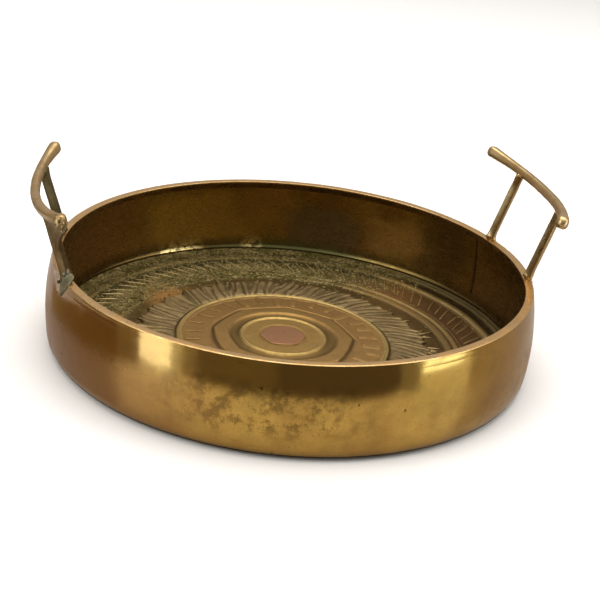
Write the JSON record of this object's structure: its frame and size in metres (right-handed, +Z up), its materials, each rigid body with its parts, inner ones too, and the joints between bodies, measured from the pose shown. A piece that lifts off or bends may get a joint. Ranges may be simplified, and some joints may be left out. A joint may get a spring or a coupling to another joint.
{
  "type": "brass tray",
  "caption": "Round deep tray with a bellied wall, a flat rim, a ring-decorated base and a bowed bar handle on two posts at each side.",
  "frame": {"origin": "centre of the underside, on the tray's axis", "axes": "+Z up through the tray's mouth, +X towards the right-hand handle, +Y across"},
  "size_m": [0.3252, 0.308, 0.1134],
  "materials": {
    "wall_brass": "worn polish, mottled golden brown patina",
    "rim_brass": "handled satin, slightly pink",
    "base_brass": "chased relief, dull, grey-green in the hollows",
    "copper": "dull copper pink",
    "cast_brass": "as cast and filed, satin",
    "braze": "uneven braze",
    "solder": "grey-green solder"
  },
  "bodies": {
    "root": {"wall": "wall_brass", "wall_seam": "braze", "rim": "rim_brass", "rim_braze": "braze", "base_plate": "base_brass", "base_seam": "braze", "centre_inlay": "copper", "handle_bar_left": "cast_brass", "post_left_near": "cast_brass", "top_braze_left_near": "braze", "foot_solder_left_near": "solder", "post_left_far": "cast_brass", "top_braze_left_far": "braze", "foot_solder_left_far": "solder", "handle_bar_right": "cast_brass", "post_right_near": "cast_brass", "top_braze_right_near": "braze", "foot_solder_right_near": "solder", "post_right_far": "cast_brass", "top_braze_right_far": "braze", "foot_solder_right_far": "solder"}
  },
  "joints": []
}
